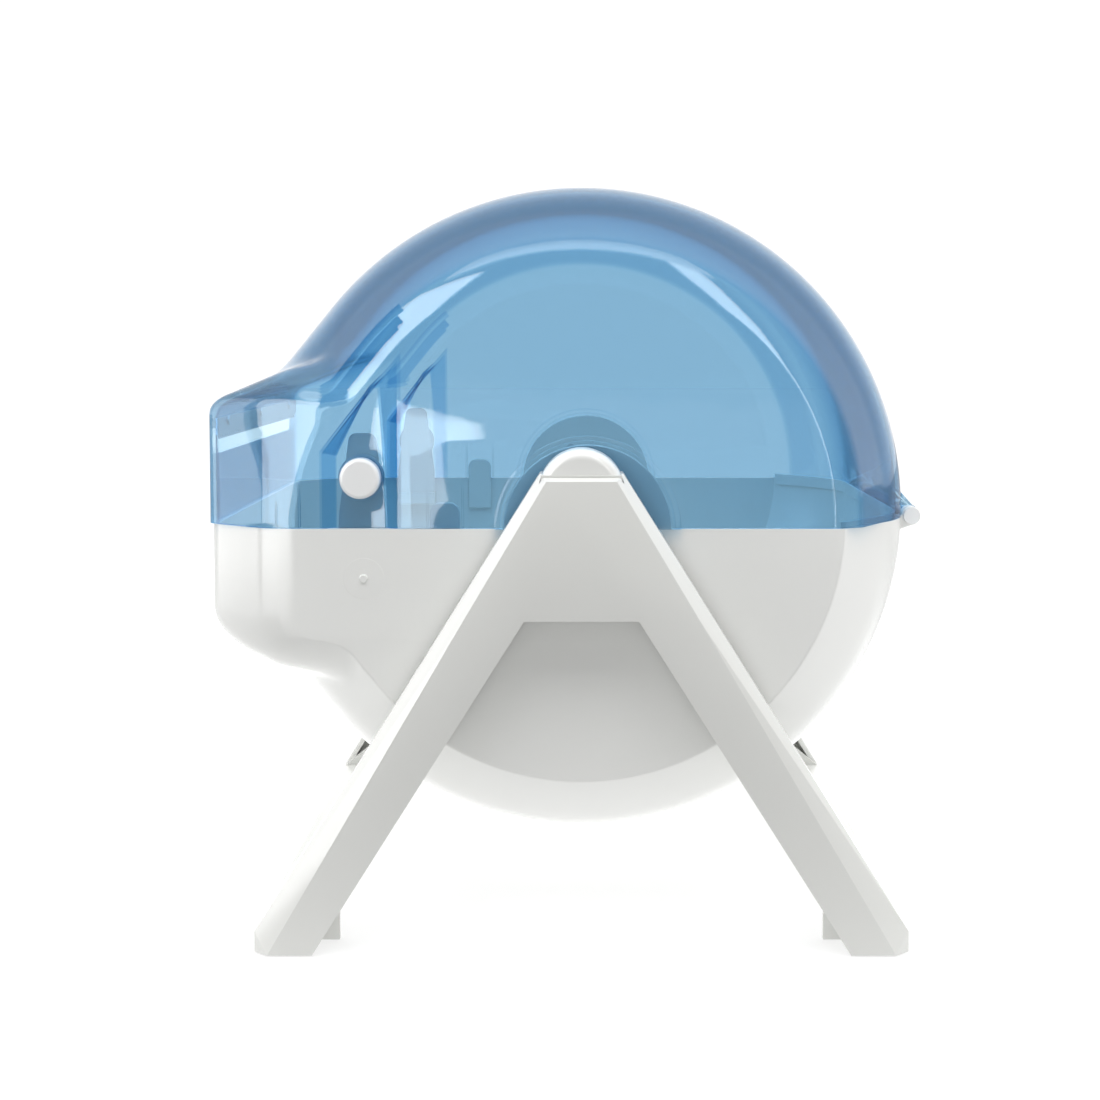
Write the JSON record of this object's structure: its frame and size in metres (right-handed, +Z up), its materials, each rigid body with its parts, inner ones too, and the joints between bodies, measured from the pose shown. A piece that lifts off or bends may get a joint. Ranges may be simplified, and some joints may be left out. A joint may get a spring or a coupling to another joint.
{
  "type": "cling film dispenser",
  "caption": "Drum-shaped cling film dispenser: white base, transparent blue hinged cover with film nose and release buttons, on two joined A-frames.",
  "frame": {"origin": "bottom centre of the whole object, on the table", "axes": "+Z up; the film nose points to -X and the cover hinge is at +X; the roll's axis lies along Y"},
  "size_m": [0.3718, 0.343, 0.3815],
  "materials": {
    "white_shell": "moulded satin gloss",
    "white_stand": "moulded satin gloss",
    "white_button": "smooth gloss",
    "clear_blue": "transparent polished",
    "white_inner": "moulded matt",
    "steel": "zinc plated",
    "pad_rubber": "matt"
  },
  "bodies": {
    "housing": {"frame_near": "white_stand", "frame_far": "white_stand", "tie_bar_front": "white_stand", "tie_bar_rear": "white_stand", "tie_bar_screws": "steel", "foot_pads": "pad_rubber", "trunnion_near": "white_shell", "trunnion_far": "white_shell", "trunnion_screws": "steel", "base_shell": "white_shell", "hinge_pin": "white_button", "hinge_pin_cap": "white_button", "roller_axle_front": "steel", "roller_axle_rear": "steel"},
    "cover": {"cover_shell": "clear_blue", "tear_strip": "steel", "tear_strip_rivets": "steel"},
    "button_near": {"release_button_near": "white_button"},
    "button_far": {"release_button_far": "white_button"},
    "latch_near": {"latch_arm_near": "white_inner"},
    "latch_far": {"latch_arm_far": "white_inner"},
    "roller_front": {"roller_front": "white_inner"},
    "roller_rear": {"roller_rear": "white_inner"}
  },
  "joints": [
    {"name": "cover_hinge", "type": "hinge", "parent": "housing", "child": "cover", "pos_m": [0.18055, 0, 0.2071], "axis": [0, 1, 0], "range_deg": [0, 110]},
    {"name": "button_near_press", "type": "slide", "parent": "cover", "child": "button_near", "axis": [0, 1, 0], "range_m": [0, 0.0035], "stiffness_N_per_m": 600},
    {"name": "button_far_press", "type": "slide", "parent": "cover", "child": "button_far", "axis": [0, -1, 0], "range_m": [0, 0.0035], "stiffness_N_per_m": 600},
    {"name": "latch_near_flex", "type": "hinge", "parent": "housing", "child": "latch_near", "pos_m": [-0.10485, -0.1348, 0.198], "axis": [-1, 0, 0], "range_deg": [0, 6], "stiffness_Nm_per_rad": 0.5},
    {"name": "latch_far_flex", "type": "hinge", "parent": "housing", "child": "latch_far", "pos_m": [-0.10485, 0.1348, 0.198], "axis": [1, 0, 0], "range_deg": [0, 6], "stiffness_Nm_per_rad": 0.5},
    {"name": "roller_front_spin", "type": "hinge", "parent": "housing", "child": "roller_front", "pos_m": [-0.03914, 0, 0.06562], "axis": [0, 1, 0], "continuous": true},
    {"name": "roller_rear_spin", "type": "hinge", "parent": "housing", "child": "roller_rear", "pos_m": [0.04944, 0, 0.06562], "axis": [0, 1, 0], "continuous": true}
  ],
  "couplings": [
    {"joint": "latch_near_flex", "follows": "button_near_press", "rad_per_m": 29.41},
    {"joint": "latch_far_flex", "follows": "button_far_press", "rad_per_m": 29.41}
  ]
}
